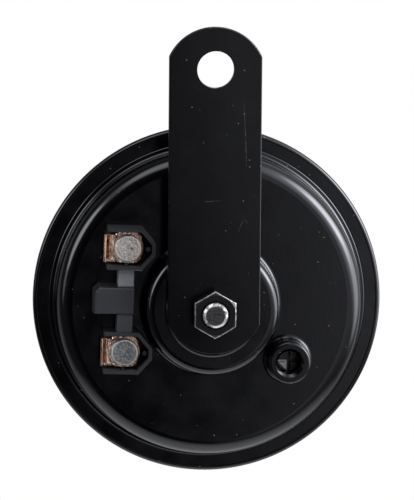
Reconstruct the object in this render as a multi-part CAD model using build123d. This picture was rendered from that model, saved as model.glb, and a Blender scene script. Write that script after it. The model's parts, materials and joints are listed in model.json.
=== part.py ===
from build123d import *
from math import atan2, cos, degrees, hypot, radians, sin, tan
import os

# A disc horn for a road vehicle.
#
# Each piece is drawn as on a bench, with the horn lying on its front grille: x to the right,
# y up the bracket and z towards the rear, from the middle of the crimped rim. finish() then hangs
# it from the hole of its bracket: the origin is the middle of that hole, the rear faces -Y, the
# bracket points up +Z and the sound leaves at +Y.

# ---- Crimped rim and sheet ----
RIM_R = 55.7            # outer radius of the folded rim
RIM_REAR_Z = 1.9        # rear face of the folded lip
RIM_EDGE_R = 1.2        # rounding of the fold
CROWN_W = 1.3           # crown of the fold, outside the pressed lip
CROWN_H = 0.12          # and how far it stands above the lip
LIP_WIDTH = 5.4         # width of the lip folded over the flange
LIP_EDGE_R = 0.6        # rounding of its inner edge
COVER_T = 0.8           # sheet of the front cover
HOUSING_T = 1.0         # sheet of the housing
GASKET_T = 0.3
DIAPHRAGM_T = 0.4
CLAMP_W = 5.2           # width of the clamped ring inside the fold
FOLD_GAP = 0.3          # between the fold and the edges that it holds, and the fold's inner rounding

# ---- Housing ----
BACK_Z = 15.5           # outer face of the back plate
FLANGE_SHOW = 1.8       # flange seen between lip and pot
POT_TAPER = 0.2         # the pot is this much smaller at its back plate
POT_CORNER_R = 5.0
POT_FOOT_R = 1.0
BOSS_Z = 27.0           # seat of the bracket washer
BOSS_R = 20.9           # outer radius of the boss at its seat
BOSS_TAPER = 0.6
BOSS_CORNER_R = 2.6
BOSS_FOOT_R = 1.2

# ---- Tuning bush and screw ----
ADJ_X, ADJ_Y = 24.8, -17.4
COLLAR_R = 6.7
COLLAR_Z = 24.3
COLLAR_EDGE_R = 0.9
COLLAR_FOOT_R = 1.3
BUSH_NECK_R = 5.6       # spigot through the back plate
BUSH_LIP_R = 6.5        # lip swaged over inside
BUSH_LIP_H = 0.8
BUSH_GAP = 0.05
ADJ_BORE_R = 3.75
COLLAR_MOUTH_R = 4.6    # countersunk mouth of the bore
ADJ_SCREW_END_Z = 17.6
CROSS_W = 1.5           # cross recess of the screw
CROSS_DEPTH = 1.8
THREAD_GAP = 0.03       # radial, between threads drawn as plain cylinders

# ---- Fixing stack ----
STUD_R = 4.0
STUD_END_GAP = 1.2      # stud past the nut
WASHER_R = 15.1
WASHER_T = 1.5
WASHER_EDGE_R = 1.2     # its rolled rear edge
STRAP_W = 29.1
STRAP_T = 3.0
STRAP_EDGE_R = 0.35     # rolled edges of the punched strip
STRAP_END_R = 16.05     # the two end arcs
STRAP_END_SHIFT = 2.7   # arc centre, inside the hole centre
STRAP_PITCH = 76.6
BRACKET_HOLE_R = 5.85
NUT_AF = 13.0
NUT_H = 6.5
HOLE_GAP = 0.2          # radial, round a bolt or rivet

# ---- Coil, core and magnet frame ----
CORE_R = 6.5
CORE_FACE_Z = 13.0
BOBBIN_GAP = 0.2
BOBBIN_WALL = 1.0
BOBBIN_R = 17.2
WINDING_R = 16.2
FRAME_T = 1.5
FRAME_Z = 8.0           # front face of the magnet frame
FRAME_R = 23.2
FRAME_BORE_R = 7.4
FRAME_LEG_T = 1.2
FRAME_LEG_ANGLES = (67, 187, 307)
FRAME_LEG_SPAN = 20

# ---- Armature and tone disc ----
AIR_GAP = 1.0
PLUNGER_R = 6.2
ARM_FLANGE_R = 20.0
ARM_FLANGE_T = 1.6
ARM_HUB_R = 9.0
ARM_HUB_H = 1.2
ARM_STUD_R = 3.0
SPACER_T = 2.8
SPACER_R = 8.0
TONE_R = 42.0
TONE_T = 1.2
TONE_HUB_R = 12.0
TONE_CONE_R = 37.0
TONE_DROP = 3.0
TONE_WASHER_R = 7.0
TONE_WASHER_T = 1.0
TONE_NUT_AF = 10.0
TONE_NUT_H = 4.0

# ---- Front cover ----
COVER_STEP = 1.4        # the cover's wall stands this far inside the clamped ring
COVER_TAPER = 2.0
COVER_FACE_Z = -11.6
COVER_FOOT_R = 1.2
COVER_DOME = 2.2        # the face is this much further out at its middle
COVER_CORNER_R = 3.0
SLOT_COUNT = 24
SLOT_W = 3.0
SLOT_R0, SLOT_R1 = 20.0, 42.0

# ---- Terminal block ----
BLOCK_X, BLOCK_Y = -27.08, 2.5
BLOCK_TURN = -1.65
TERMINAL_PITCH = 33.2
SHROUD_H = 9.5
SHROUD_HALF = 6.6
SHROUD_LEFT = -6.6
SHROUD_SHOULDER = 4.4   # where the point of the shroud starts
SHROUD_TIP = 8.6
SHROUD_TIP_HALF = 1.8
SHROUD_WALL = 1.1
BLOCK_FLOOR = 2.0
PAD_LEFT, PAD_RIGHT = -10.4, 2.8
PAD_HALF = 4.6
PAD_H = 8.5
PAD_DRAFT = 3.0
PAD_CUT = 1.6           # cut corner of the pad
PAD_EDGE_R = 0.5
BAR_LEFT, BAR_RIGHT = -2.8, 2.1
BAR_H = 7.7
PEG_U, PEG_R = 6.4, 0.75
RIB_U, RIB_R = -0.3, 0.55

# ---- Terminals ----
PLATE_T = 0.8
PLATE_LEFT, PLATE_RIGHT = -6.9, 4.3
PLATE_LOW, PLATE_HIGH = -4.8, 3.9
LIP_RISE = 2.6
LIP_LEAN = 0.7
CLAMP_T = 1.1
CLAMP_LEFT, CLAMP_RIGHT = -5.8, 4.6
CLAMP_HALF = 4.1
CLAMP_LOBE = 5.2
CLAMP_RIDGE_W = 0.9
CLAMP_RIDGE_H = 0.9
CLAMP_RAMP_W = 1.9      # slope from the ridge down to the saddle's floor
CLAMP_RIDGE_R = 0.4
CLAMP_RIDGE_INSET = 0.2 # the ridge stops this far short of the saddle's sides
CLAMP_EDGE = 0.3        # bevel round the saddle
CLAMP_COLLAR_R = 4.9
CLAMP_COLLAR_H = 0.7
RIVET_HEAD_R = 4.25
RIVET_HEAD_H = 3.0
RIVET_R = 2.0
SPIGOT_R = 3.6
INSULATOR_T = 1.2
INSULATOR_LEFT, INSULATOR_RIGHT = -5.0, 3.3
INSULATOR_END = 4.9     # of the strip past each rivet
TAG_T = 0.8
TAG_R = 4.4
TAG_TONGUE_W = 3.4
TAG_TONGUE_L = 9.0
TAIL_R = 3.2
TAIL_H = 1.3

# ---- Contact breaker, in its own frame: x along the arms, y towards the horn's axis ----
BREAKER_X, BREAKER_Y = 4.0, -33.0
ARM_GAP = 0.4           # armature flange to the moving contact's finger
LEAF_T = 0.4
LEAF_HALF_W = 3.0
LEAF_TAIL = -9.0
CONTACT_X = 15.0
CONTACT_R = 1.6
CONTACT_T = 1.2
CARRIER_T = 1.0
CARRIER_HALF_W = 3.5
STACK_HALF = 4.6
FINGER_HALF_W = 2.5
FINGER_OVERLAP = 1.5    # of the finger over the armature flange
STACK_BOTTOM_T = 1.0
STACK_TOP_T = 1.2
BREAKER_RIVET_X = 2.4
BREAKER_RIVET_R = 1.0
BREAKER_HEAD_R = 1.8
BREAKER_HEAD_H = 0.8
BOSSLET_R = 1.7         # insulating bosses round the rivets
BRACKET_ARM_T = 1.2
BRACKET_FOOT = 6.0
PAD_R = 2.8             # insulating button under the adjusting screw
PAD_T = 1.2

# ---- Coil leads ----
LEAD_R = 0.4
LEAD_BEND_R = 3.0
LEAD_START_GAP = 0.2    # between the winding's drawn outside and the wire's end

# ---- Levels that follow from the sizes above ----
FLANGE_REAR_Z = RIM_REAR_Z - COVER_T
FLANGE_FRONT_Z = FLANGE_REAR_Z - HOUSING_T
DIAPHRAGM_REAR_Z = FLANGE_FRONT_Z - GASKET_T
DIAPHRAGM_FRONT_Z = DIAPHRAGM_REAR_Z - DIAPHRAGM_T
COVER_SEAT_Z = DIAPHRAGM_FRONT_Z - GASKET_T
RIM_FRONT_Z = COVER_SEAT_Z - COVER_T
FOLD_R = RIM_R - COVER_T
CLAMPED_R = FOLD_R - FOLD_GAP
CLAMP_INNER_R = FOLD_R - CLAMP_W
LIP_R = RIM_R - LIP_WIDTH
CROWN_R = RIM_R - CROWN_W
CROWN_Z = RIM_REAR_Z + CROWN_H
POT_ROOT_R = LIP_R - FLANGE_SHOW
POT_R = POT_ROOT_R - POT_TAPER
BOSS_ROOT_R = BOSS_R + BOSS_TAPER
COVER_WALL_R = CLAMP_INNER_R - COVER_STEP
COVER_FACE_R = COVER_WALL_R - COVER_TAPER
INNER_BACK_Z = BACK_Z - HOUSING_T
INNER_BOSS_Z = BOSS_Z - HOUSING_T
STRAP_Z = BOSS_Z + WASHER_T
NUT_Z = STRAP_Z + STRAP_T
STUD_END_Z = NUT_Z + NUT_H + STUD_END_GAP
FRAME_REAR_Z = FRAME_Z + FRAME_T
PLUNGER_END_Z = CORE_FACE_Z - AIR_GAP
FLANGE_Z = DIAPHRAGM_REAR_Z + ARM_HUB_H
FLANGE_TOP_Z = FLANGE_Z + ARM_FLANGE_T
TONE_Z = DIAPHRAGM_FRONT_Z - SPACER_T
TONE_NUT_Z = TONE_Z - TONE_T - TONE_WASHER_T
ARM_STUD_END_Z = TONE_NUT_Z - TONE_NUT_H - 1.0
FLOOR_Z = BACK_Z + BLOCK_FLOOR
CLAMP_Z = FLOOR_Z + PLATE_T
HEAD_Z = CLAMP_Z + CLAMP_T + CLAMP_COLLAR_H
TAG_Z = INNER_BACK_Z - INSULATOR_T - TAG_T
LEAD_Z = TAG_Z - LEAD_R
LEAF_Z = FLANGE_TOP_Z + ARM_GAP
CARRIER_Z = LEAF_Z + LEAF_T + 2 * CONTACT_T
CARRIER_TOP_Z = CARRIER_Z + CARRIER_T
ARM_Z = CARRIER_TOP_Z + STACK_TOP_T
SCREW_TIP_Z = CARRIER_TOP_Z + PAD_T
BREAKER_TURN = degrees(atan2(ADJ_Y - BREAKER_Y, ADJ_X - BREAKER_X))
CARRIER_REACH = hypot(ADJ_X - BREAKER_X, ADJ_Y - BREAKER_Y)
HANGING = Plane(origin=(0, 0, 0), x_dir=(1, 0, 0), z_dir=(0, -1, 0))


def finish(name, shape):
    """Moves a piece from the bench to the hanging horn and writes it."""
    hung = HANGING.location * Pos(0, -STRAP_PITCH, -(STRAP_Z + STRAP_T / 2)) * shape
    export_step(hung, f"parts/{name}.step")


def turned(points, radii=0.0):
    """A solid of revolution about the horn's axis, from a closed (radius, z) outline."""
    if radii:
        outline = FilletPolyline(*[(r, 0, z) for r, z in points], radius=radii, close=True)
    else:
        outline = Polyline(*[(r, 0, z) for r, z in points], close=True)
    return revolve(make_face(outline), Axis.Z)


def disc(r, z0, z1, x=0.0, y=0.0):
    """A plain round bar between two levels."""
    return Pos(x, y, z0) * Cylinder(r, z1 - z0, align=(Align.CENTER, Align.CENTER, Align.MIN))


def ring(r0, r1, z0, z1):
    """A flat washer about the horn's axis."""
    return disc(r1, z0, z1) - disc(r0, z0, z1)


def slab(u0, u1, v0, v1, z0, z1):
    """A block between three pairs of limits."""
    return Pos((u0 + u1) / 2, (v0 + v1) / 2, z0) * Box(
        u1 - u0, v1 - v0, z1 - z0, align=(Align.CENTER, Align.CENTER, Align.MIN)
    )


def prism(points, z0, z1):
    """A straight-sided plate from a closed outline."""
    return Pos(0, 0, z0) * extrude(make_face(Polyline(*points, close=True)), z1 - z0)


def on_block(shape):
    """Places what is drawn about the middle of the terminal block."""
    return Pos(BLOCK_X, BLOCK_Y, 0) * Rot(0, 0, BLOCK_TURN) * shape


def at_terminal(side):
    """Place of one terminal: side is +1 for the upper one and -1 for the lower one."""
    return Pos(BLOCK_X, BLOCK_Y, 0) * Rot(0, 0, BLOCK_TURN) * Pos(0, side * TERMINAL_PITCH / 2, 0)


def at_breaker(shape):
    """Places what is drawn in the contact breaker's own frame."""
    return Pos(BREAKER_X, BREAKER_Y, 0) * Rot(0, 0, BREAKER_TURN) * shape


def breaker_point(u, v, z):
    """A point of the breaker's frame, in the horn's."""
    a = radians(BREAKER_TURN)
    return (BREAKER_X + u * cos(a) - v * sin(a), BREAKER_Y + u * sin(a) + v * cos(a), z)


def terminal_point(side, u, v, z):
    """A point of one terminal's frame, in the horn's."""
    a = radians(BLOCK_TURN)
    v = v + side * TERMINAL_PITCH / 2
    return (BLOCK_X + u * cos(a) - v * sin(a), BLOCK_Y + u * sin(a) + v * cos(a), z)


def hexagon_nut(across_flats, height, bore_r, z0, chamfer_r):
    """A nut with its corners up and down, its outer edges turned to a cone and its bore countersunk."""
    blank = Pos(0, 0, z0) * extrude(
        RegularPolygon(across_flats / 2, 6, major_radius=False, rotation=30), height
    )
    corner_r = across_flats / 2 / cos(radians(30))
    drop = (corner_r - chamfer_r) * tan(radians(30))
    turning = [(0, z0), (chamfer_r, z0), (corner_r + 1e-3, z0 + drop)]
    turning += [(corner_r + 1e-3, z0 + height - drop), (chamfer_r, z0 + height), (0, z0 + height)]
    bore = disc(bore_r, z0, z0 + height)
    for z, edge in ((z0, 1), (z0 + height, -1)):
        bore += turned([(0, z), (bore_r + 0.5, z), (bore_r, z + edge * 0.5), (0, z + edge * 0.5)])
    return (blank & turned(turning)) - bore


# ---- Housing, cover and what they clamp ----


def housing():
    """One pressing: flange, tapered pot, flat back plate and boss, pierced for what it carries."""
    t = HOUSING_T
    outer = [
        (0, BOSS_Z, 0), (BOSS_R, BOSS_Z, BOSS_CORNER_R), (BOSS_ROOT_R, BACK_Z, BOSS_FOOT_R),
        (POT_R, BACK_Z, POT_CORNER_R), (POT_ROOT_R, FLANGE_REAR_Z, POT_FOOT_R),
        (CLAMPED_R, FLANGE_REAR_Z, 0),
    ]
    inner = [
        (CLAMPED_R, FLANGE_FRONT_Z, 0), (POT_ROOT_R - t, FLANGE_FRONT_Z, POT_FOOT_R + t),
        (POT_R - t, INNER_BACK_Z, POT_CORNER_R - t), (BOSS_ROOT_R - t, INNER_BACK_Z, BOSS_FOOT_R + t),
        (BOSS_R - t, INNER_BOSS_Z, BOSS_CORNER_R - t), (0, INNER_BOSS_Z, 0),
    ]
    outline = outer + inner
    pot = turned([(r, z) for r, z, _ in outline], [radius for _, _, radius in outline])
    pot -= disc(BUSH_NECK_R + BUSH_GAP, INNER_BACK_Z, BACK_Z, ADJ_X, ADJ_Y)
    pot -= disc(STUD_R + HOLE_GAP, INNER_BOSS_Z, BOSS_Z)
    for side in (1, -1):
        pot -= at_terminal(side) * disc(SPIGOT_R + HOLE_GAP, INNER_BACK_Z, BACK_Z)
    return pot


def tuning_bush():
    """A turned collar with a flared foot, swaged into the back plate and threaded for the screw."""
    mouth_depth = COLLAR_MOUTH_R - ADJ_BORE_R
    lip_z = INNER_BACK_Z - BUSH_LIP_H
    outline = [
        (ADJ_BORE_R, lip_z, 0), (BUSH_LIP_R, lip_z, 0.3), (BUSH_LIP_R, INNER_BACK_Z, 0),
        (BUSH_NECK_R, INNER_BACK_Z, 0), (BUSH_NECK_R, BACK_Z, 0), (COLLAR_R + COLLAR_FOOT_R, BACK_Z, 0),
        (COLLAR_R + COLLAR_FOOT_R, BACK_Z + 0.2, 0), (COLLAR_R, BACK_Z + 0.2, COLLAR_FOOT_R - 0.1),
        (COLLAR_R, COLLAR_Z, COLLAR_EDGE_R), (COLLAR_MOUTH_R, COLLAR_Z, 0),
        (ADJ_BORE_R, COLLAR_Z - mouth_depth, 0),
    ]
    bush = turned([(r, z) for r, z, _ in outline], [radius for _, _, radius in outline])
    return Pos(ADJ_X, ADJ_Y, 0) * bush


def front_cover():
    """The grille: its edge is folded back over the flange, and its domed face has a ring of slots."""
    t = COVER_T
    middle_z = COVER_FACE_Z - COVER_DOME
    outline = [
        (0, middle_z, 0), (COVER_FACE_R, COVER_FACE_Z, COVER_CORNER_R),
        (COVER_WALL_R, RIM_FRONT_Z, COVER_FOOT_R), (RIM_R, RIM_FRONT_Z, RIM_EDGE_R),
        (RIM_R, CROWN_Z, RIM_EDGE_R), (CROWN_R, CROWN_Z, 0), (CROWN_R - CROWN_H, RIM_REAR_Z, 0),
        (LIP_R, RIM_REAR_Z, LIP_EDGE_R), (LIP_R, FLANGE_REAR_Z, 0),
        (FOLD_R, FLANGE_REAR_Z, FOLD_GAP), (FOLD_R, COVER_SEAT_Z, FOLD_GAP),
        (COVER_WALL_R - t, COVER_SEAT_Z, COVER_FOOT_R + t),
        (COVER_FACE_R - t, COVER_FACE_Z + t, COVER_CORNER_R - t), (0, middle_z + t, 0),
    ]
    cover = turned([(r, z) for r, z, _ in outline], [radius for _, _, radius in outline])
    length = SLOT_R1 - SLOT_R0
    cutter = extrude(SlotOverall(length, SLOT_W), 4 * t + COVER_DOME)
    slot = Pos((SLOT_R0 + SLOT_R1) / 2, 0, middle_z - t) * cutter
    slots = [Rot(0, 0, 360 / SLOT_COUNT * i) * slot for i in range(SLOT_COUNT)]
    return cover - slots


def gasket(z0):
    """A paper ring on one side of the diaphragm."""
    return ring(CLAMP_INNER_R, CLAMPED_R, z0, z0 + GASKET_T)


def diaphragm():
    """A flat spring-steel disc, bored for the armature's stud."""
    return ring(ARM_STUD_R + HOLE_GAP, CLAMPED_R, DIAPHRAGM_FRONT_Z, DIAPHRAGM_REAR_Z)


# ---- Bracket and its fixing ----


def bracket_strap():
    """A flat strap with two shallow round ends and two holes."""
    reach = STRAP_END_R - STRAP_END_SHIFT
    half = STRAP_W / 2
    shoulder = (STRAP_END_R**2 - half**2) ** 0.5 - STRAP_END_SHIFT
    top, bottom = STRAP_PITCH + shoulder, -shoulder
    edge = Line((-half, bottom), (-half, top))
    edge += ThreePointArc((-half, top), (0, STRAP_PITCH + reach), (half, top))
    edge += Line((half, top), (half, bottom))
    edge += ThreePointArc((half, bottom), (0, -reach), (-half, bottom))
    plate = Pos(0, 0, STRAP_Z) * extrude(make_face(edge), STRAP_T)
    rims = plate.faces().sort_by(Axis.Z)[-1].edges() + plate.faces().sort_by(Axis.Z)[0].edges()
    plate = fillet(rims, STRAP_EDGE_R)
    plate -= disc(STUD_R + HOLE_GAP, STRAP_Z, STRAP_Z + STRAP_T)
    return plate - disc(BRACKET_HOLE_R, STRAP_Z, STRAP_Z + STRAP_T, 0, STRAP_PITCH)


def bracket_washer():
    """The thick round seat between boss and strap."""
    hole_r = STUD_R + HOLE_GAP
    outline = [
        (hole_r, BOSS_Z, 0), (WASHER_R, BOSS_Z, 0), (WASHER_R, STRAP_Z, WASHER_EDGE_R), (hole_r, STRAP_Z, 0),
    ]
    return turned([(r, z) for r, z, _ in outline], [radius for _, _, radius in outline])


def core_stud():
    """The pole core, shouldered against the boss, with the fixing stud turned on its end."""
    stud = [(0, CORE_FACE_Z), (CORE_R, CORE_FACE_Z), (CORE_R, INNER_BOSS_Z), (STUD_R, INNER_BOSS_Z)]
    stud += [(STUD_R, STUD_END_Z - 0.7), (STUD_R - 0.7, STUD_END_Z), (0, STUD_END_Z)]
    return turned(stud)


# ---- Coil and magnet frame ----


def coil_bobbin():
    """A moulded spool round the core and the armature's plunger."""
    bore_r = CORE_R + BOBBIN_GAP
    hub_r = bore_r + BOBBIN_WALL
    z0, z1 = FRAME_REAR_Z, INNER_BOSS_Z
    spool = ring(bore_r, hub_r, z0, z1)
    spool += ring(bore_r, BOBBIN_R, z0, z0 + BOBBIN_WALL)
    return spool + ring(bore_r, BOBBIN_R, z1 - BOBBIN_WALL, z1)


def coil_winding():
    """The wound wire as one ring that fills the spool."""
    hub_r = CORE_R + BOBBIN_GAP + BOBBIN_WALL
    return ring(hub_r, WINDING_R, FRAME_REAR_Z + BOBBIN_WALL, INNER_BOSS_Z - BOBBIN_WALL)


def magnet_frame():
    """A steel bridge that closes the magnetic path and holds the spool in the boss."""
    frame = ring(FRAME_BORE_R, FRAME_R, FRAME_Z, FRAME_REAR_Z)
    skirt = ring(FRAME_R - FRAME_LEG_T, FRAME_R, FRAME_REAR_Z, INNER_BACK_Z)
    reach = 2 * FRAME_R
    half = reach * tan(radians(FRAME_LEG_SPAN / 2))
    wedge = prism([(0, 0), (reach, -half), (reach, half)], FRAME_REAR_Z, INNER_BACK_Z)
    for angle in FRAME_LEG_ANGLES:
        frame += skirt & (Rot(0, 0, angle) * wedge)
    return frame


# ---- What moves ----


def armature():
    """One turned piece: stud, hub, striking flange and plunger."""
    z0 = DIAPHRAGM_REAR_Z
    outline = [
        (0, ARM_STUD_END_Z), (ARM_STUD_R - 0.5, ARM_STUD_END_Z), (ARM_STUD_R, ARM_STUD_END_Z + 0.5),
        (ARM_STUD_R, z0), (ARM_HUB_R, z0), (ARM_HUB_R, FLANGE_Z), (ARM_FLANGE_R, FLANGE_Z),
        (ARM_FLANGE_R, FLANGE_TOP_Z), (PLUNGER_R, FLANGE_TOP_Z), (PLUNGER_R, PLUNGER_END_Z),
        (0, PLUNGER_END_Z),
    ]
    return turned(outline)


def tone_disc_spacer():
    """A collar that holds the tone disc off the diaphragm."""
    return ring(ARM_STUD_R + HOLE_GAP, SPACER_R, TONE_Z, DIAPHRAGM_FRONT_Z)


def tone_disc():
    """The resonator: a flat hub, a shallow cone and a flat rim."""
    bore_r, t = ARM_STUD_R + HOLE_GAP, TONE_T
    rim_z = TONE_Z - TONE_DROP
    outline = [
        (bore_r, TONE_Z, 0), (TONE_HUB_R, TONE_Z, 3), (TONE_CONE_R, rim_z, 3), (TONE_R, rim_z, 0),
        (TONE_R, rim_z - t, 0), (TONE_CONE_R, rim_z - t, 3), (TONE_HUB_R, TONE_Z - t, 3),
        (bore_r, TONE_Z - t, 0),
    ]
    return turned([(r, z) for r, z, _ in outline], [radius for _, _, radius in outline])


def tone_disc_washer():
    """A flat washer under the front nut."""
    return ring(ARM_STUD_R + HOLE_GAP, TONE_WASHER_R, TONE_NUT_Z, TONE_NUT_Z + TONE_WASHER_T)


def tone_disc_nut():
    """The front nut, which clamps tone disc, spacer and diaphragm on the armature."""
    bore_r = ARM_STUD_R + THREAD_GAP
    return hexagon_nut(TONE_NUT_AF, TONE_NUT_H, bore_r, TONE_NUT_Z - TONE_NUT_H, TONE_NUT_AF / 2 - 0.2)


# ---- Terminals ----


def shroud_outline(inset=0.0):
    """Corners of a shroud, pointed to the right, drawn in by an inset."""
    along, across = SHROUD_TIP - SHROUD_SHOULDER, SHROUD_HALF - SHROUD_TIP_HALF
    slant = hypot(along, across)
    shoulder = SHROUD_SHOULDER - inset * (slant - along) / across
    tip_half = SHROUD_TIP_HALF - inset * (slant - across) / along
    half, tip = SHROUD_HALF - inset, SHROUD_TIP - inset
    return [
        (SHROUD_LEFT, -half), (shoulder, -half), (tip, -tip_half), (tip, tip_half),
        (shoulder, half), (SHROUD_LEFT, half),
    ]


def terminal_block():
    """One moulding: two pointed shrouds open to the left, a joining bar and a raised pad."""
    top = BACK_Z + SHROUD_H
    block = Part() + prism(
        [
            (BAR_LEFT, -TERMINAL_PITCH / 2), (BAR_RIGHT, -TERMINAL_PITCH / 2),
            (BAR_RIGHT, TERMINAL_PITCH / 2), (BAR_LEFT, TERMINAL_PITCH / 2),
        ],
        BACK_Z, BACK_Z + BAR_H,
    )
    corners = [
        (PAD_LEFT, -PAD_HALF), (PAD_RIGHT, -PAD_HALF), (PAD_RIGHT, PAD_HALF),
        (PAD_LEFT + PAD_CUT, PAD_HALF), (PAD_LEFT, PAD_HALF - PAD_CUT),
    ]
    pad = Pos(0, 0, BACK_Z) * extrude(make_face(Polyline(*corners, close=True)), PAD_H, taper=PAD_DRAFT)
    pad = fillet(pad.faces().sort_by(Axis.Z)[-1].edges(), PAD_EDGE_R)
    block += pad
    for side in (1, -1):
        place = Pos(0, side * TERMINAL_PITCH / 2, 0)
        block += place * prism(shroud_outline(), BACK_Z, top)
        room = [(u - (u == SHROUD_LEFT), v) for u, v in shroud_outline(SHROUD_WALL)]
        block -= place * prism(room, FLOOR_Z, top)
        block += place * disc(PEG_R, FLOOR_Z, top - 2.0, PEG_U, 0)
        for wall in (1, -1):
            block += place * disc(RIB_R, FLOOR_Z, top - 2.0, RIB_U, wall * (SHROUD_HALF - SHROUD_WALL))
        block += place * disc(SPIGOT_R, INNER_BACK_Z, BACK_Z)
        block -= place * disc(RIVET_R + HOLE_GAP, INNER_BACK_Z, FLOOR_Z)
    return on_block(block)


def terminal_plate(side):
    """The copper base strip: flat under the clamp, its outer end turned up as a wire stop."""
    t = PLATE_T
    section = [
        (PLATE_RIGHT, FLOOR_Z), (PLATE_RIGHT, FLOOR_Z + t), (PLATE_LEFT + t, FLOOR_Z + t),
        (PLATE_LEFT + t - LIP_LEAN, FLOOR_Z + LIP_RISE), (PLATE_LEFT - LIP_LEAN, FLOOR_Z + LIP_RISE),
        (PLATE_LEFT, FLOOR_Z),
    ]
    bends = [0, 0, 0.3, 0.3, 0.3, 0.8]
    face = make_face(FilletPolyline(*[(u, 0, z) for u, z in section], radius=bends, close=True))
    plate = Pos(0, PLATE_HIGH, 0) * extrude(face, PLATE_HIGH - PLATE_LOW, dir=(0, -1, 0))
    plate -= disc(RIVET_R + HOLE_GAP, FLOOR_Z, CLAMP_Z)
    return at_terminal(side) * plate


def clamp_plate(side):
    """The copper saddle: two lobes and a notch on each long edge, a ridge on the left, a raised eye."""
    left_u, right_u, half, lobe = CLAMP_LEFT, CLAMP_RIGHT, CLAMP_HALF, CLAMP_LOBE
    notch_v = half + 0.2
    near_u, far_u = left_u + 1.9, right_u - 0.5
    z1 = CLAMP_Z + CLAMP_T
    edge = Line((left_u, -half), (left_u, half))
    for s in (1, -1):
        left_lobe = ThreePointArc((near_u, s * half), ((near_u + RIB_U) / 2, s * lobe), (RIB_U, s * notch_v))
        right_lobe = ThreePointArc((RIB_U, s * notch_v), ((RIB_U + far_u) / 2, s * lobe), (far_u, s * half))
        edge += Line((left_u, s * half), (near_u, s * half)) + left_lobe + right_lobe
        edge += Line((far_u, s * half), (right_u, s * (half - 0.5)))
    edge += Line((right_u, half - 0.5), (right_u, 0.5 - half))
    plate = Pos(0, 0, CLAMP_Z) * extrude(make_face(edge), CLAMP_T)
    plate = chamfer(plate.faces().sort_by(Axis.Z)[-1].edges(), CLAMP_EDGE)
    ridge_u, foot_u = left_u + CLAMP_RIDGE_W, left_u + CLAMP_RIDGE_W + CLAMP_RAMP_W
    ridge_z, ridge_half = z1 + CLAMP_RIDGE_H, half - CLAMP_RIDGE_INSET
    section = [(left_u, CLAMP_Z), (left_u, ridge_z), (ridge_u, ridge_z), (foot_u, z1), (foot_u, CLAMP_Z)]
    bends = [0, CLAMP_RIDGE_R, CLAMP_RIDGE_R, 0, 0]
    face = make_face(FilletPolyline(*[(u, 0, z) for u, z in section], radius=bends, close=True))
    plate += Pos(0, ridge_half, 0) * extrude(face, 2 * ridge_half, dir=(0, -1, 0))
    plate += disc(CLAMP_COLLAR_R, z1, HEAD_Z)
    plate -= disc(RIVET_R + HOLE_GAP, CLAMP_Z, HEAD_Z)
    return at_terminal(side) * plate


def terminal_rivet(side):
    """A plain flat head outside, a shank through block and housing, and a tail formed inside."""
    top = HEAD_Z + RIVET_HEAD_H
    outline = [
        (0, top, 0), (RIVET_HEAD_R, top, 0.45), (RIVET_HEAD_R, HEAD_Z, 0), (RIVET_R, HEAD_Z, 0),
        (RIVET_R, TAG_Z, 0), (TAIL_R, TAG_Z, 0), (TAIL_R - 0.6, TAG_Z - TAIL_H, 0.4),
        (0, TAG_Z - TAIL_H, 0),
    ]
    rivet = turned([(r, z) for r, z, _ in outline], [radius for _, _, radius in outline])
    return at_terminal(side) * rivet


def inner_insulator():
    """A phenolic strip that keeps both rivets and tags off the housing."""
    z0 = INNER_BACK_Z - INSULATOR_T
    half = TERMINAL_PITCH / 2 + INSULATOR_END
    strip = slab(INSULATOR_LEFT, INSULATOR_RIGHT, -half, half, z0, INNER_BACK_Z)
    strip = fillet(strip.edges().filter_by(Axis.Z), 2.0)
    for side in (1, -1):
        strip -= Pos(0, side * TERMINAL_PITCH / 2, 0) * disc(RIVET_R + HOLE_GAP, z0, INNER_BACK_Z)
    return on_block(strip)


def solder_tag(side):
    """A brass eye under the rivet's tail, with a tongue for the coil's wire."""
    eye_x, eye_y, _ = terminal_point(side, 0, 0, 0)
    inward = degrees(atan2(-eye_y, -eye_x))
    z0, z1 = TAG_Z, TAG_Z + TAG_T
    tag = disc(TAG_R, z0, z1) + slab(0, TAG_TONGUE_L, -TAG_TONGUE_W / 2, TAG_TONGUE_W / 2, z0, z1)
    return Pos(eye_x, eye_y, 0) * Rot(0, 0, inward) * (tag - disc(RIVET_R + HOLE_GAP, z0, z1))


# ---- Adjusting screw and contact breaker ----


def adjusting_screw():
    """A headless screw with a cross recess, sunk in the collar and bearing on the contact carrier."""
    r = ADJ_BORE_R - THREAD_GAP
    z1 = ADJ_SCREW_END_Z
    outline = [(0, SCREW_TIP_Z), (r - 1.6, SCREW_TIP_Z), (r, SCREW_TIP_Z + 1.6)]
    screw = turned(outline + [(r, z1 - 0.4), (r - 0.4, z1), (0, z1)])
    for long, short in ((2 * r + 1, CROSS_W), (CROSS_W, 2 * r + 1)):
        screw -= slab(-long / 2, long / 2, -short / 2, short / 2, z1 - CROSS_DEPTH, z1)
    return Pos(ADJ_X, ADJ_Y, 0) * screw


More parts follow.
